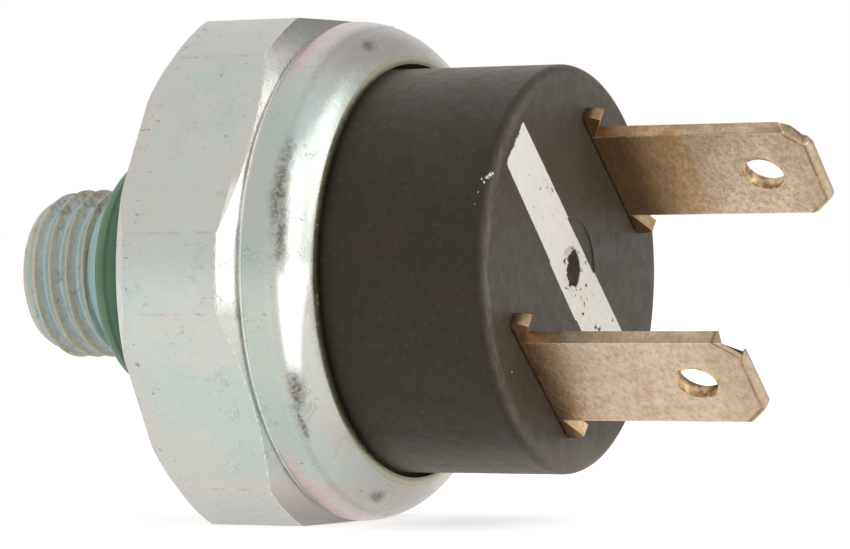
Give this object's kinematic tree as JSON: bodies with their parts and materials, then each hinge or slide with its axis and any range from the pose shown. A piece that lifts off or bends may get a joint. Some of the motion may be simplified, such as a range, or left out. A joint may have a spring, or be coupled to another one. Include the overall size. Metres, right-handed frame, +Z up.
{
  "type": "low pressure cut-out switch",
  "caption": "Screw-in low pressure cut-out switch: hexagon steel body with a threaded port and O-ring, snap disc contacts inside, and a crimped moulded base with blade terminals.",
  "frame": {"origin": "on the axis, in the hexagon's seat face, which meets the rim of the tapped port", "axes": "+X along the axis from the thread towards the blade terminals, +Z up out of a hexagon flat, so the part lies on the opposite flat"},
  "size_m": [0.0439, 0.0292, 0.027],
  "materials": {
    "zinc_steel": "bright zinc plate with a faint iridescence, handled and scratched",
    "green_rubber": "smooth moulded rubber",
    "polyimide": "clear amber film",
    "plain_steel": "turned and deburred",
    "brass_pad": "turned",
    "spring_steel": "rolled strip",
    "guide_plastic": "moulded",
    "ceramic_pin": "ground",
    "gasket_rubber": "moulded",
    "black_moulding": "semi-matt moulding with fine pale specks and a white paint mark",
    "tinned_brass": "tarnished brown to pale grey tin over brass",
    "rivet_brass": "headed",
    "spring_bronze": "rolled strip",
    "contact_silver": "coined"
  },
  "bodies": {
    "switch_body": {"hex_body": "zinc_steel", "port_o_ring": "green_rubber", "cavity_seal": "green_rubber", "wet_diaphragm": "polyimide", "middle_diaphragm": "polyimide", "dry_diaphragm": "polyimide", "support_ring": "plain_steel", "snap_disc": "spring_steel", "disc_seat": "plain_steel", "pin_guide": "guide_plastic", "base_gasket": "gasket_rubber", "terminal_base": "black_moulding", "arm_terminal": "tinned_brass", "fixed_terminal": "tinned_brass", "arm_rivet": "rivet_brass", "fixed_contact": "contact_silver"},
    "pressure_pad": {"pressure_pad": "brass_pad"},
    "push_pin": {"push_pin": "ceramic_pin"},
    "contact_arm": {"contact_arm": "spring_bronze", "moving_contact": "contact_silver"}
  },
  "joints": [
    {"name": "pad_travel", "type": "slide", "parent": "switch_body", "child": "pressure_pad", "axis": [1, 0, 0], "range_m": [0, 0.0003], "stiffness_N_per_m": 2000, "deforming": ["snap_disc", "wet_diaphragm", "middle_diaphragm", "dry_diaphragm"]},
    {"name": "pin_travel", "type": "slide", "parent": "switch_body", "child": "push_pin", "axis": [1, 0, 0], "range_m": [0, 0.0003]},
    {"name": "arm_swing", "type": "hinge", "parent": "switch_body", "child": "contact_arm", "pos_m": [0.0112, -0.00246, -0.00277], "axis": [0, 0.7478, -0.6639], "range_deg": [0, 4.65], "stiffness_Nm_per_rad": 0.002, "deforming": ["contact_arm"]}
  ],
  "couplings": [
    {"joint": "pin_travel", "follows": "pad_travel", "ratio": 1},
    {"joint": "arm_swing", "follows": "pad_travel", "rad_per_m": 270.27}
  ]
}
